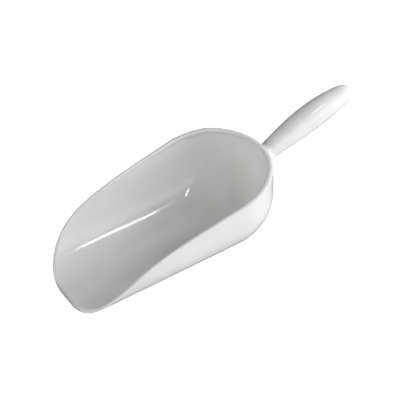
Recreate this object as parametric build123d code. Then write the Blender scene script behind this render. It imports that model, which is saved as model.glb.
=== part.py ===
"""Feed scoop: an open moulded bowl, and a hollow handle of two shells closed on a spigot at its back.

Millimetres, +Z up. +X runs from the lip to the handle, and the scoop is the same on both sides of Y = 0.
The origin is under the middle of the bowl, on the flat face that the scoop rests on.
"""
import math
import os

from build123d import *

# Bowl
BOWL_LENGTH = 209.0          # from the lip to the outside of the back wall
BACK_RADIUS = 59.0           # in plan the back wall is half a circle
NOSE_RADIUS = 52.5           # and so is the nose that the lip is cut from
NOSE_OVERHANG = 43.5         # how far the nose would reach past the lip
WALL = 3.0
BASE_RADIUS = 41.5           # between the walls and the floor
DRAFT = 0.01                 # how far a wall leans out for each millimetre of height
TUB_HEIGHT = 75.0            # the walls are drawn to here, then cut down to the rim

# Rim, seen from the side: it climbs steeply from the lip, then gently to the back
RIM_HEIGHT = 68.0
RIM_LEVEL_FROM = 79.5        # from here to the back the rim is level
RIM_FRONT_ANGLE = 50.0
RIM_FRONT_PULL = 68.0
RIM_BACK_ANGLE = 9.0
RIM_BACK_PULL = 120.0

# Handle: its centreline is an arc in the plane Y = 0, and every section across it is round
HANDLE_START = (106.5, 50.0)
HANDLE_SLOPE = 21.0
HANDLE_ARC_RADIUS = 500.0
HANDLE_LENGTH = 108.5
HANDLE_STATIONS = [(9.0, 8.7), (24.0, 10.2), (42.0, 11.7), (60.0, 12.3), (76.0, 11.8)]
TIP_START = 90.0
TIP_RADIUS = 10.2
HANDLE_WALL = 2.5

# Boss on the back wall, and the spigot that the shells close on
BOSS_END = 9.0
BOSS_FLARE = 4.5
BOSS_ARC_RADIUS = 12.0
SPIGOT_RADIUS = 5.4
SPIGOT_END = 40.0
COLLAR = (29.0, 32.0)        # its two faces, along the centreline
COLLAR_RADIUS = 7.5
KEY = (18.5, 29.5)           # a rib under the spigot, this far along the centreline
KEY_WIDTH = 2.4
KEY_RADIUS = 6.6
FIT_GAP = 0.15

# Inside the shells
SEAM_DROP = 0.8              # the shells meet this far under the centreline
RIBS = [(18.0, 20.0), (26.5, 28.7), (32.3, 34.5)]
POSTS = [56.0, 82.0]
POST_RADIUS = 3.6
PIN_RADIUS = 1.6
PIN_LENGTH = 4.0

FAR = 400.0
half_length = BOWL_LENGTH / 2
nose_x = NOSE_RADIUS - NOSE_OVERHANG - half_length
back_x = half_length - BACK_RADIUS


def plan(inset, height):
    """Outline of the tub at this height, drawn in by inset: two arcs and the lines that touch both."""
    inset += DRAFT * (TUB_HEIGHT - height)
    nose, back = NOSE_RADIUS - inset, BACK_RADIUS - inset
    lean = math.asin((back - nose) / (back_x - nose_x))
    across, along = math.cos(lean), math.sin(lean)
    nose_side = Vector(nose_x - nose * along, nose * across, height)
    back_side = Vector(back_x - back * along, back * across, height)
    mirrored = [Vector(p.X, -p.Y, p.Z) for p in (nose_side, back_side)]
    edges = ThreePointArc(mirrored[0], (nose_x - nose, 0, height), nose_side)
    edges += Line(nose_side, back_side)
    edges += ThreePointArc(back_side, (back_x + back, 0, height), mirrored[1])
    edges += Line(mirrored[1], mirrored[0])
    return make_face(edges)


def tub(inset, floor):
    """Solid tub with leaning walls and a round base."""
    walls = loft([plan(inset, floor), plan(inset, TUB_HEIGHT)], ruled=True)
    base = walls.faces().sort_by(Axis.Z)[0]
    return fillet(base.edges(), BASE_RADIUS - inset)


def direction(angle):
    """Unit vector in the plane Y = 0, angle degrees above +X."""
    return Vector(math.cos(math.radians(angle)), 0, math.sin(math.radians(angle)))


def below_rim():
    """Everything under the rim line."""
    lip = Vector(-half_length, 0, 0)
    level = Vector(RIM_LEVEL_FROM, 0, RIM_HEIGHT)
    climb = lip + direction(RIM_FRONT_ANGLE) * RIM_FRONT_PULL
    ease = level - direction(RIM_BACK_ANGLE) * RIM_BACK_PULL
    edges = Bezier(lip, climb, ease, level)
    edges += Polyline(level, (FAR, 0, RIM_HEIGHT), (FAR, 0, -1), (-half_length, 0, -1), lip)
    return extrude(make_face(edges), amount=FAR / 2, both=True)


def section(along):
    """Plane across the handle, this far along its centreline. Its own X is up, and its Z along the handle."""
    swing = math.degrees(along / HANDLE_ARC_RADIUS)
    start = Vector(HANDLE_START[0], 0, HANDLE_START[1])
    centre = start - direction(HANDLE_SLOPE + 90) * HANDLE_ARC_RADIUS
    up = direction(HANDLE_SLOPE + 90 - swing)
    return Plane(origin=centre + up * HANDLE_ARC_RADIUS, x_dir=up, z_dir=direction(HANDLE_SLOPE - swing))


def handle_form(inset, side):
    """Solid in the shape of the handle, drawn in by inset. Its round sections start on the other side."""
    turn = Rot(0, 0, 90 + 90 * side)
    stations = HANDLE_STATIONS + [(TIP_START, TIP_RADIUS)]
    body = loft([section(along) * turn * Circle(radius - inset) for along, radius in stations])
    tip_length = HANDLE_LENGTH - TIP_START - inset
    tip_radius = TIP_RADIUS - inset
    quarter = EllipticalCenterArc((0, 0), tip_radius, tip_length, start_angle=0, arc_size=90)
    quarter += Polyline((0, tip_length), (0, 0), (tip_radius, 0))
    tip = revolve(Plane.XZ * make_face(quarter), Axis.Z)
    return body + section(TIP_START) * turn * tip


def round_bar(start, end, radius):
    """Round solid on the centreline, between two places along it."""
    middle = section((start + end) / 2)
    return extrude(middle * Circle(radius), amount=(end - start) / 2, both=True)


def boss():
    """Round root on the back wall: it flares into the wall and ends flush with the shells."""
    end_radius = HANDLE_STATIONS[0][1]
    root_radius = end_radius + BOSS_FLARE
    depth = BOSS_END + WALL
    edges = RadiusArc((root_radius, -BOSS_END), (end_radius, 0), BOSS_ARC_RADIUS)
    edges += Polyline((end_radius, 0), (0, 0), (0, -depth), (root_radius, -depth), (root_radius, -BOSS_END))
    return section(BOSS_END) * revolve(Plane.XZ * make_face(edges), Axis.Z)


def spigot():
    """Stalk that the shells close on, with a collar that they trap and a key under it."""
    stalk = round_bar(BOSS_END - 1, SPIGOT_END, SPIGOT_RADIUS)
    stalk += round_bar(*COLLAR, COLLAR_RADIUS)
    return stalk + key(0)


def key(gap):
    """Rib under the spigot that stops the handle turning, or with a gap the slot for it."""
    start, end = KEY
    depth = KEY_RADIUS + gap
    bar = Box(depth, KEY_WIDTH + 2 * gap, end - start + 2 * gap)
    return section((start + end) / 2) * Pos(-depth / 2, 0, 0) * bar


def make_bowl():
    """Walls, floor and rim, with the boss and spigot for the handle."""
    walls = (tub(0, 0) & below_rim()) + boss()
    return walls - tub(WALL, WALL) + spigot()


def one_side(edge_z):
    """Everything between the surface that the two shells meet on and this height."""
    centreline = [section(along) for along in (-5, HANDLE_LENGTH / 2, HANDLE_LENGTH + 5)]
    places = [across.origin - across.x_dir * SEAM_DROP for across in centreline]
    far_corners = [Vector(places[2].X, 0, edge_z), Vector(places[0].X, 0, edge_z)]
    edges = ThreePointArc(*places) + Polyline(places[2], *far_corners, places[0])
    return extrude(make_face(edges), amount=FAR / 4, both=True)


def rib(start, end, side):
    """Web across the handle with a bore for the spigot."""
    web = round_bar(start, end, FAR / 10) & handle_form(HANDLE_WALL / 2, side)
    bore = round_bar(start - 1, end + 1, SPIGOT_RADIUS + FIT_GAP)
    return web - bore - key(FIT_GAP)


def pillar(along, radius, up_to):
    """Round bar square to the handle, from where the shells meet to up_to above that, or below if negative."""
    across = section(along)
    foot = Plane(origin=across.origin - across.x_dir * SEAM_DROP, x_dir=across.z_dir, z_dir=across.x_dir)
    return extrude(foot * Circle(radius), amount=up_to)


def post(along, side):
    """Post inside a shell: the upper shell's end in pins, and the lower shell's have the holes for them."""
    bar = pillar(along, POST_RADIUS, side * FAR / 10)
    if side > 0:
        bar += pillar(along, PIN_RADIUS, -PIN_LENGTH)
    else:
        bar -= pillar(along, PIN_RADIUS + FIT_GAP, -PIN_LENGTH - 2 * FIT_GAP)
    return bar & handle_form(HANDLE_WALL / 2, side)


def make_shell(side):
    """Upper half of the handle for side 1, lower half for side -1, with its ribs and posts."""
    half = one_side(side * FAR)
    shell = (handle_form(0, side) - handle_form(HANDLE_WALL, side)) & half
    for start, end in RIBS:
        shell += rib(start, end, side) & half
    for along in POSTS:
        shell += post(along, side)
    return shell


os.makedirs("parts", exist_ok=True)
pieces = {"bowl": make_bowl(), "handle_upper_shell": make_shell(1), "handle_lower_shell": make_shell(-1)}
for name, piece in pieces.items():
    export_step(piece, f"parts/{name}.step")
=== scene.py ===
"""Feed scoop: the moulded bowl and the looks of its two-shell handle, on a pale studio floor.

Metres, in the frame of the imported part: +X from the lip to the handle, +Z up, floor at Z = 0.
"""
import math

import bpy
import numpy as np
from mathutils import Matrix, Vector


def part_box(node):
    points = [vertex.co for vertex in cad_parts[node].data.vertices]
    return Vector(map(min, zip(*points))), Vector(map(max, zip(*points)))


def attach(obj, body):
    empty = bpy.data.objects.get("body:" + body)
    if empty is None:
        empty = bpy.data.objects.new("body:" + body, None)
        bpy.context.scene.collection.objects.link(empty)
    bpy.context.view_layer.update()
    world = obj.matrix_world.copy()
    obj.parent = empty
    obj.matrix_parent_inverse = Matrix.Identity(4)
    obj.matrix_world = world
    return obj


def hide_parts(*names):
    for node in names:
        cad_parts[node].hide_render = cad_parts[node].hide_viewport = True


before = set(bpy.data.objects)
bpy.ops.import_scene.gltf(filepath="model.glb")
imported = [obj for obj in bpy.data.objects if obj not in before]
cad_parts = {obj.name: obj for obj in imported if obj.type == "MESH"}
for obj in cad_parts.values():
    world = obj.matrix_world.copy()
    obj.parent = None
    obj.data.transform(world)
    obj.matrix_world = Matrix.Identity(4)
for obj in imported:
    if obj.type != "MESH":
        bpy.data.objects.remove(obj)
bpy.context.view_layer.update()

MM = 0.001

# Bowl, as moulded: two round ends joined by straight sides
LIP_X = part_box("bowl")[0].x
BACK_RADIUS = 59 * MM
NOSE_RADIUS = 52.5 * MM
BACK_X = LIP_X + 150 * MM
NOSE_X = LIP_X + 9 * MM
WALL = 3 * MM
BASE_RADIUS = 41.5 * MM
DRAFT = 0.01                 # how far a wall leans out for each metre of height
DRAWN_HEIGHT = 75 * MM       # the walls are drawn to here, then cut down to the rim

# Rim, seen from the side: it climbs steeply from the lip, then gently to the back
RIM_HEIGHT = 68 * MM
RIM_LEVEL_X = 79.5 * MM
RIM_FRONT_ANGLE, RIM_FRONT_PULL = math.radians(50), 68 * MM
RIM_BACK_ANGLE, RIM_BACK_PULL = math.radians(9), 120 * MM

# Edge of the wall along the rim
EDGE_ROUND = 1.25 * MM
LIP_ROUND = 0.4 * MM         # the lip's lower edge is sharper
LIP_ROUND_SPAN = (2 * MM, 20 * MM)    # behind the lip, the one rounding grows into the other
EDGE_REACH = 0.9             # how much of the way to the middle of the rim a rounding reaches
RIM_BEAD = 2.4 * MM          # extra thickness inside the rim: all of it at the back, none at the front
RIM_BEAD_DEPTH = 7 * MM
RIM_BEAD_SPAN = (-10 * MM, 80 * MM)

# Handle: its centreline is an arc that starts in the back wall
HANDLE_START = Vector((LIP_X + 211 * MM, 0, 50 * MM))
HANDLE_SLOPE = math.radians(21)
HANDLE_ARC = 500 * MM
ROOT_END = 9 * MM            # where the root meets the shells, along the centreline
ROOT_RADIUS = 8.7 * MM
ROOT_STEP = 1.5 * MM
ROOT_GROWTH = (1.01, 1.03, 1.05, 1.075, 1.10, 1.13)    # step by step towards the wall
ROOT_SIDES = 96

# How finely the bowl is drawn
NOSE_COLUMNS, SIDE_COLUMNS, BACK_COLUMNS = 46, 44, 40
WALL_ROWS = 52
ROW_BUNCHING = 1.6           # above 1, the rows stand closer together towards the rim
EDGE_ROWS = 4
RIM_STEPS = 2000
FLOOR_STEPS, BEND_STEPS, RISE_STEPS = 60, 240, 80
MERGE = 0.02 * MM

# White plastic
PLASTIC = (0.79, 0.79, 0.788, 1)
PLASTIC_WARM = (0.757, 0.755, 0.745, 1)
PLASTIC_SCUFFED = (0.82, 0.82, 0.815, 1)
# Colour of the lip's cut edge, drawn darker grey than the rest of the plastic
PLASTIC_LIP_DARKER = (0.46, 0.46, 0.44, 1)
PLASTIC_IOR = 1.49
BUMP_STRENGTH = 0.4
BUMP_DEPTH = 0.4 * MM
LIP_SCUFFS = (LIP_X + 4 * MM, LIP_X + 34 * MM)         # scuffed before the first, clean from the second
# Lip's cut edge: fully darker grey before the first, clean from the second
LIP_DARKER_SPAN = (LIP_X + 0.8 * MM, LIP_X + 3.4 * MM)
SCRATCHES = [                # grains a metre along each axis, turn about Z, and the noise that shows
    ((60, 2600, 2600), 0.16, (0.66, 0.72)),
    ((90, 2200, 2200), -0.22, (0.68, 0.73)),
]

# Sockets of a Mix node that mixes colours
MIX_SHARE, MIX_FIRST, MIX_SECOND, MIX_RESULT = 0, 6, 7, 2

# Camera
CAMERA_AZIMUTH = math.radians(-32.09)
CAMERA_ELEVATION = math.radians(41.03)
CAMERA_ROLL = math.radians(-4.27)
CAMERA_TARGET = Vector((0.0405, 0.005, 0.030))
CAMERA_DISTANCE = 0.8755
CAMERA_NEAR = 0.01
SENSOR_WIDTH = 36            # in millimetres, as the lens
LENS = 87.966

# Studio. A strength is a light's brightness, whatever its size
FLOOR_SIZE = 8
FLOOR_HEIGHT, BOUNCE_HEIGHT = -0.2 * MM, -0.4 * MM
FLOOR_GLOW, BOUNCE_GLOW, AIR_GLOW = 1.0, 0.92, 1.0
PAPER = (0.3, 0.3, 0.3, 1)
COOL = (0.98, 0.985, 1.0)
PLAIN = (1, 1, 1)
PANEL_AIM = (0, 0, 0.03)
PANEL_DISTANCE = 1.5
PANELS = [                   # name, azimuth, elevation, size, strength, colour, whether gloss mirrors it
    ("right_panel", -60, 24, (1.7, 1.25), 1.42, COOL, True),
    ("handle_side_panel", -12, 20, (1.0, 0.7), 8.0, COOL, False),
    ("handle_top_panel", -40, 35, (0.8, 0.5), 2.0, COOL, False),
    ("near_panel", -97, 32, (1.2, 0.5), 0.9, PLAIN, False),
    ("lip_right_panel", -145, 30, (1.0, 0.5), 1.3, PLAIN, False),
    ("lip_panel", 180, 24, (1.3, 0.9), 2.2, PLAIN, False),
    ("lip_left_panel", 150, 26, (1.0, 0.5), 1.6, PLAIN, False),
    ("back_panel", 60, 30, (1.0, 0.5), 0.9, PLAIN, False),
]
STRIP_ENDS = ((0.267, -0.51, 0.773), (0.413, -0.282, 0.863))
STRIP_AIM = (-0.03, 0.036, 0.01)
STRIP_WIDTH = 0.026
STRIP_STRENGTH = 36


def rim_line():
    """The rim seen from the side: places along the bowl, and its heights there."""
    lip = np.array([LIP_X, 0.0])
    level = np.array([RIM_LEVEL_X, RIM_HEIGHT])
    climb = lip + RIM_FRONT_PULL * np.array([math.cos(RIM_FRONT_ANGLE), math.sin(RIM_FRONT_ANGLE)])
    ease = level - RIM_BACK_PULL * np.array([math.cos(RIM_BACK_ANGLE), math.sin(RIM_BACK_ANGLE)])
    t = np.linspace(0, 1, RIM_STEPS)[:, None]
    curve = (1 - t) ** 3 * lip + 3 * (1 - t) ** 2 * t * climb + 3 * (1 - t) * t**2 * ease + t**3 * level
    return curve[:, 0], curve[:, 1]


RIM_X, RIM_Z = rim_line()


def rim_height(x):
    """Height of the rim line over x: nothing stands in front of the lip."""
    ahead = (x - LIP_X) * math.tan(RIM_FRONT_ANGLE)
    return np.where(x < LIP_X, ahead, np.interp(x, RIM_X, RIM_Z))


def wall_section(radius, inset):
    """Half section of the drawn tub, floor centre to wall top: distances from its axis, and heights."""
    lean = math.atan(DRAFT)
    bend = BASE_RADIUS - inset
    wall_foot = radius - inset - DRAFT * (DRAWN_HEIGHT - inset - bend)
    bend_centre = wall_foot - bend / math.cos(lean)
    turn = np.linspace(0, math.pi / 2 - lean, BEND_STEPS)
    reach = bend_centre + bend * np.sin(turn)
    height = inset + bend * (1 - np.cos(turn))
    floor = np.linspace(0, bend_centre, FLOOR_STEPS, endpoint=False)
    top = radius - inset
    rise = np.linspace(0, 1, RISE_STEPS)[1:]
    wall_reach = reach[-1] + (top - reach[-1]) * rise
    wall_height = height[-1] + (DRAWN_HEIGHT - height[-1]) * rise
    floor_height = np.full(FLOOR_STEPS, inset)
    return np.concatenate([floor, reach, wall_reach]), np.concatenate([floor_height, height, wall_height])


def column_line(share, angle, inset):
    """One upright line of the wall, floor to rim: its points, and how far along each one is."""
    centre = NOSE_X + (BACK_X - NOSE_X) * share
    reach, height = wall_section(NOSE_RADIUS + (BACK_RADIUS - NOSE_RADIUS) * share, inset)
    line = np.stack([centre + reach * math.cos(angle), reach * math.sin(angle), height], axis=1)
    over = line[:, 2] - rim_height(line[:, 0])
    cut = int(np.argmax(over > 0))
    blend = over[cut - 1] / (over[cut - 1] - over[cut])
    line = np.vstack([line[:cut], line[cut - 1] + (line[cut] - line[cut - 1]) * blend])
    steps = np.linalg.norm(np.diff(line, axis=0), axis=1)
    return line, np.concatenate([[0], np.cumsum(steps)])


def along(line, lengths, place):
    """Points on a line at these distances along it."""
    return np.stack([np.interp(place, lengths, line[:, k]) for k in range(3)], axis=1)


def smooth(value, low, high):
    """0 up to low, 1 from high, and smooth between."""
    share = np.clip((value - low) / (high - low), 0, 1)
    return share * share * (3 - 2 * share)


def quarter_round(start, corner, end):
    """Points of a quarter ellipse from start round towards corner to end, both ends left out."""
    turn = np.linspace(0, math.pi / 2, EDGE_ROWS + 1)[1:-1, None]
    centre = start + end - corner
    return centre + (start - centre) * np.cos(turn) + (end - centre) * np.sin(turn)


def bowl_column(share, angle):
    """One closed line round the wall: outer floor, outer wall, rounded rim, inner wall, inner floor."""
    outer, outer_at = column_line(share, angle, 0)
    inner, inner_at = column_line(share, angle, WALL)
    bead = RIM_BEAD * smooth(inner[-1, 0], *RIM_BEAD_SPAN)
    bead = bead * smooth(inner_at, inner_at[-1] - RIM_BEAD_DEPTH, inner_at[-1])
    inner = inner - bead[:, None] * np.array([math.cos(angle), math.sin(angle), 0])
    spread = 1 - (1 - np.linspace(0, 1, WALL_ROWS)) ** ROW_BUNCHING
    outer_round = LIP_ROUND + (EDGE_ROUND - LIP_ROUND) * smooth(outer[-1, 0] - LIP_X, *LIP_ROUND_SPAN)
    outer_side = along(outer, outer_at, (outer_at[-1] - outer_round) * spread)
    inner_side = along(inner, inner_at, (inner_at[-1] - EDGE_ROUND) * spread)[::-1]
    middle = (outer[-1] + inner[-1]) / 2
    before = outer[-1] + (middle - outer[-1]) * EDGE_REACH
    after = inner[-1] + (middle - inner[-1]) * EDGE_REACH
    out_round = quarter_round(outer_side[-1], outer[-1], before)
    in_round = quarter_round(after, inner[-1], inner_side[0])
    return np.vstack([outer_side, out_round, before, middle, after, in_round, inner_side])


def bowl_columns():
    """Where the columns stand, all the way round: (share of the way from nose to back, angle)."""
    side = math.pi / 2 + math.asin((BACK_RADIUS - NOSE_RADIUS) / (BACK_X - NOSE_X))
    back = [(1.0, a) for a in np.linspace(0, side, BACK_COLUMNS, endpoint=False)]
    middle = [(s, side) for s in np.linspace(1, 0, SIDE_COLUMNS, endpoint=False)]
    nose = [(0.0, a) for a in np.linspace(side, math.pi, NOSE_COLUMNS)]
    half = back + middle + nose
    return half + [(share, -angle) for share, angle in half[-2:0:-1]]


def only(obj):
    """Select this object alone."""
    bpy.ops.object.select_all(action="DESELECT")
    obj.select_set(True)
    bpy.context.view_layer.objects.active = obj


def edit(obj):
    """Start editing this object alone, with all of it selected."""
    only(obj)
    bpy.ops.object.mode_set(mode="EDIT")
    bpy.ops.mesh.select_all(action="SELECT")


def done():
    """Stop editing."""
    bpy.ops.object.mode_set(mode="OBJECT")


def tidy_mesh(obj):
    """Merge doubles, turn the faces outwards and shade them smooth."""
    edit(obj)
    bpy.ops.mesh.remove_doubles(threshold=MERGE)
    bpy.ops.mesh.normals_make_consistent(inside=False)
    done()
    bpy.ops.object.shade_smooth()


def make_bowl():
    """The bowl's wall. Its rim cuts across every row, so a grid is laid on the section of each column."""
    columns = [bowl_column(share, angle) for share, angle in bowl_columns()]
    columns.append(columns[0])
    rows = len(columns[0])
    bpy.ops.object.select_all(action="DESELECT")
    bpy.ops.mesh.primitive_grid_add(x_subdivisions=rows - 1, y_subdivisions=len(columns) - 1, size=1)
    moulding = bpy.context.object
    moulding.name = "bowl_moulding"
    places = np.array(columns).reshape(-1, 3)
    moulding.data.vertices.foreach_set("co", places.astype(np.float32).ravel())
    moulding.data.update()
    tidy_mesh(moulding)
    return moulding


def handle_line(distance):
    """Point on the handle's centreline, this far from its start, and the direction there."""
    slope = HANDLE_SLOPE - distance / HANDLE_ARC
    centre = HANDLE_START + HANDLE_ARC * Vector((math.sin(HANDLE_SLOPE), 0, -math.cos(HANDLE_SLOPE)))
    point = centre + HANDLE_ARC * Vector((-math.sin(slope), 0, math.cos(slope)))
    return point, Vector((math.cos(slope), 0, math.sin(slope)))


def make_root():
    """Round root that flares from the end of the handle shells. It meets the back wall at the top only."""
    place, direction = handle_line(ROOT_END)
    turn = direction.to_track_quat("Z", "Y").to_euler()
    bpy.ops.object.select_all(action="DESELECT")
    bpy.ops.mesh.primitive_circle_add(vertices=ROOT_SIDES, radius=ROOT_RADIUS, location=place, rotation=turn)
    flare = bpy.context.object
    flare.name = "handle_root"
    edit(flare)
    for grown in ROOT_GROWTH:
        place = place - direction * ROOT_STEP
        bpy.ops.mesh.extrude_edges_move(TRANSFORM_OT_translate={"value": -direction * ROOT_STEP})
        bpy.ops.transform.resize(value=(grown,) * 3, center_override=place)
    bpy.ops.mesh.select_all(action="SELECT")
    bpy.ops.mesh.region_to_loop()
    bpy.ops.mesh.edge_face_add()
    done()
    only(flare)
    bpy.ops.object.transform_apply(location=True, rotation=True, scale=True)
    tidy_mesh(flare)
    return flare


class Wire:
    """A value in a material. Sums and products of it add Math nodes."""

    def __init__(self, finish, socket):
        self.finish, self.socket = finish, socket

    def math(self, operation, first, second):
        return self.finish.node("ShaderNodeMath", {"operation": operation}, {0: first, 1: second})

    def __add__(self, other):
        return self.math("ADD", self, other)

    def __sub__(self, other):
        return self.math("SUBTRACT", self, other)

    def __rsub__(self, other):
        return self.math("SUBTRACT", other, self)

    def __mul__(self, other):
        return self.math("MULTIPLY", self, other)

    __radd__, __rmul__ = __add__, __mul__

    def over(self, low, high):
        """0 up to low, 1 from high, and smooth between."""
        settings = {"interpolation_type": "SMOOTHSTEP"}
        return self.finish.node("ShaderNodeMapRange", settings, {0: self, 1: low, 2: high})


class Finish:
    """A material that is built up node by node."""

    def __init__(self, name):
        self.material = bpy.data.materials.new(name)
        self.material.use_nodes = True
        self.tree = self.material.node_tree
        self.tree.nodes.clear()

    def node(self, kind, settings, inputs, output=0):
        """Add a node. Its settings come first, then the values and links of its sockets."""
        made = self.tree.nodes.new(kind)
        for key, value in settings.items():
            setattr(made, key, value)
        for key, value in inputs.items():
            if isinstance(value, Wire):
                self.tree.links.new(value.socket, made.inputs[key])
            else:
                made.inputs[key].default_value = value
        return Wire(self, made.outputs[output])

    def noise(self, place, scale, detail=2.0, rough=0.5):
        """Noise of about this many grains a metre, from 0 to 1."""
        inputs = {"Vector": place, "Scale": scale, "Detail": detail, "Roughness": rough}
        return self.node("ShaderNodeTexNoise", {}, inputs)

    def stretch(self, place, size, turn=0.0):
        """The same place, scaled along each axis after a turn about Z."""
        inputs = {"Vector": place, "Scale": size, "Rotation": (0, 0, turn)}
        return self.node("ShaderNodeMapping", {"vector_type": "POINT"}, inputs)

    def blend(self, share, first, second):
        """Mix two colours."""
        settings = {"data_type": "RGBA", "blend_type": "MIX"}
        inputs = {MIX_SHARE: share, MIX_FIRST: first, MIX_SECOND: second}
        return self.node("ShaderNodeMix", settings, inputs, MIX_RESULT)

    def surface(self, shader):
        """Close the material with this shader."""
        end = self.tree.nodes.new("ShaderNodeOutputMaterial")
        self.tree.links.new(shader.socket, end.inputs["Surface"])


def scratch_lines(finish, place):
    """Two sets of fine scratches along the bowl, crossing at a small angle, in patches."""
    fine, cross = [
        finish.noise(finish.stretch(place, size, turn), 1, 2, 0.6).over(*shown)
        for size, turn, shown in SCRATCHES
    ]
    return (fine + cross) * finish.noise(place, 45, 2).over(0.45, 0.65)


def white_plastic(name, scratched):
    """Glossy white moulded plastic. The bowl's is scratched too, scuffed by the lip and drawn darker grey
    along the lip's cut edge.
    """
    finish = Finish(name)
    place = finish.node("ShaderNodeTexCoord", {}, {}, "Object")
    cloud = finish.noise(place, 26, 3, 0.55)
    grain = finish.noise(place, 900, 2, 0.6)
    flow = finish.noise(finish.stretch(place, (18, 60, 60)), 1, 2)
    colour = finish.blend(cloud.over(0.35, 0.7), PLASTIC, PLASTIC_WARM)
    rough = 0.06 + 0.04 * cloud + 0.02 * grain
    height = 0.35 * flow + 0.02 * grain
    if scratched:
        scratches = scratch_lines(finish, place)
        x = finish.node("ShaderNodeSeparateXYZ", {}, {0: place})
        scuffs = (1 - x.over(*LIP_SCUFFS)) * finish.noise(place, 420, 3, 0.7).over(0.45, 0.75)
        rough = rough + 0.10 * scratches + 0.16 * scuffs
        height = height - 0.03 * scratches - 0.05 * scuffs
        colour = finish.blend(scuffs * 0.6, colour, PLASTIC_SCUFFED)
        # The lip's cut edge is drawn darker grey
        colour = finish.blend(1 - x.over(*LIP_DARKER_SPAN), colour, PLASTIC_LIP_DARKER)
    relief = {"Strength": BUMP_STRENGTH, "Distance": BUMP_DEPTH, "Height": height}
    bump = finish.node("ShaderNodeBump", {}, relief)
    looks = {"Base Color": colour, "Roughness": rough, "Normal": bump, "IOR": PLASTIC_IOR}
    finish.surface(finish.node("ShaderNodeBsdfPrincipled", {}, looks))
    return finish.material


def paint(obj, material):
    """Give all of an object this one material."""
    obj.data.materials.clear()
    obj.data.materials.append(material)


def studio_camera():
    """Long lens from the front right of the lip, looking down into the bowl."""
    level = math.cos(CAMERA_ELEVATION)
    sine, cosine = math.sin(CAMERA_AZIMUTH), math.cos(CAMERA_AZIMUTH)
    back = Vector((sine * level, -cosine * level, math.sin(CAMERA_ELEVATION)))
    across = Vector((cosine, sine, 0))
    upward = back.cross(across)
    right = across * math.cos(CAMERA_ROLL) + upward * math.sin(CAMERA_ROLL)
    up = upward * math.cos(CAMERA_ROLL) - across * math.sin(CAMERA_ROLL)
    bpy.ops.object.camera_add()
    camera = bpy.context.object
    camera.name = "studio_camera"
    turn = Matrix((right, up, back)).transposed().to_4x4()
    camera.matrix_world = Matrix.Translation(CAMERA_TARGET + back * CAMERA_DISTANCE) @ turn
    camera.data.sensor_width = SENSOR_WIDTH
    camera.data.lens = LENS
    camera.data.clip_start = CAMERA_NEAR
    bpy.context.scene.camera = camera


def soft_light(name, place, towards, size, strength, colour):
    """Rectangular light that the camera doesn't see. Its long side is level."""
    bpy.ops.object.light_add(type="AREA", location=place)
    light = bpy.context.object
    light.name = name
    light.data.shape = "RECTANGLE"
    light.data.size, light.data.size_y = size
    light.data.energy = strength * size[0] * size[1] * math.pi
    light.data.color = colour
    light.rotation_euler = (Vector(place) - Vector(towards)).to_track_quat("Z", "Y").to_euler()
    light.visible_camera = False
    return light


def strip_light():
    """Narrow light overhead, whose reflection draws a thin line along the far wall."""
    one_end, other_end = (Vector(end) for end in STRIP_ENDS)
    middle, run = (one_end + other_end) / 2, other_end - one_end
    long_way = run.normalized()
    facing = (middle - Vector(STRIP_AIM)).normalized()
    facing = (facing - long_way * facing.dot(long_way)).normalized()
    light = soft_light("thin_strip", middle, STRIP_AIM, (run.length, STRIP_WIDTH), STRIP_STRENGTH, PLAIN)
    turn = Matrix((long_way, facing.cross(long_way), facing)).transposed().to_4x4()
    light.matrix_world = Matrix.Translation(middle) @ turn


def around(azimuth, elevation, distance):
    """A place round the scoop: azimuth 0 is beyond the handle, and 90 on its left."""
    azimuth, elevation = math.radians(azimuth), math.radians(elevation)
    level = distance * math.cos(elevation)
    return level * math.cos(azimuth), level * math.sin(azimuth), distance * math.sin(elevation)


def pale_sheet(name, height, glow):
    """Level sheet of paper that glows evenly."""
    bpy.ops.object.select_all(action="DESELECT")
    bpy.ops.mesh.primitive_plane_add(size=FLOOR_SIZE, location=(0, 0, height))
    sheet = bpy.context.object
    sheet.name = name
    finish = Finish(name)
    paper = finish.node("ShaderNodeBsdfDiffuse", {}, {"Color": PAPER})
    light = finish.node("ShaderNodeEmission", {}, {"Strength": glow})
    finish.surface(finish.node("ShaderNodeAddShader", {}, {0: paper, 1: light}))
    paint(sheet, finish.material)
    return sheet


def studio_air():
    """Pale air behind everything. It shows past the floor's far edge, and lights nothing."""
    world = bpy.data.worlds.new("studio_air")
    world.use_nodes = True
    background = world.node_tree.nodes["Background"]
    background.inputs["Color"].default_value = (1, 1, 1, 1)
    background.inputs["Strength"].default_value = AIR_GLOW
    world.cycles_visibility.diffuse = False
    world.cycles_visibility.glossy = False
    bpy.context.scene.world = world


def studio():
    """Pale floor that melts into its background, soft panels all round, and a thin strip overhead."""
    floor = pale_sheet("studio_floor", FLOOR_HEIGHT, FLOOR_GLOW)
    floor.visible_diffuse = False
    floor.visible_glossy = False
    bounce = pale_sheet("floor_bounce", BOUNCE_HEIGHT, BOUNCE_GLOW)
    bounce.visible_camera = False
    bounce.visible_glossy = False
    studio_air()
    for name, azimuth, elevation, size, strength, colour, mirrored in PANELS:
        place = around(azimuth, elevation, PANEL_DISTANCE)
        light = soft_light(name, place, PANEL_AIM, size, strength, colour)
        light.visible_glossy = mirrored
    strip_light()


bpy.context.scene.view_settings.view_transform = "Standard"
studio_camera()
studio()

bowl_finish = white_plastic("bowl_white_plastic", True)
handle_finish = white_plastic("handle_white_plastic", False)

bowl, root = make_bowl(), make_root()
for piece, plastic in ((bowl, bowl_finish), (root, handle_finish)):
    paint(piece, plastic)
    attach(piece, "root")
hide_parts("bowl")

for node in ("handle_upper_shell", "handle_lower_shell"):
    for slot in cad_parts[node].material_slots:
        slot.material = handle_finish
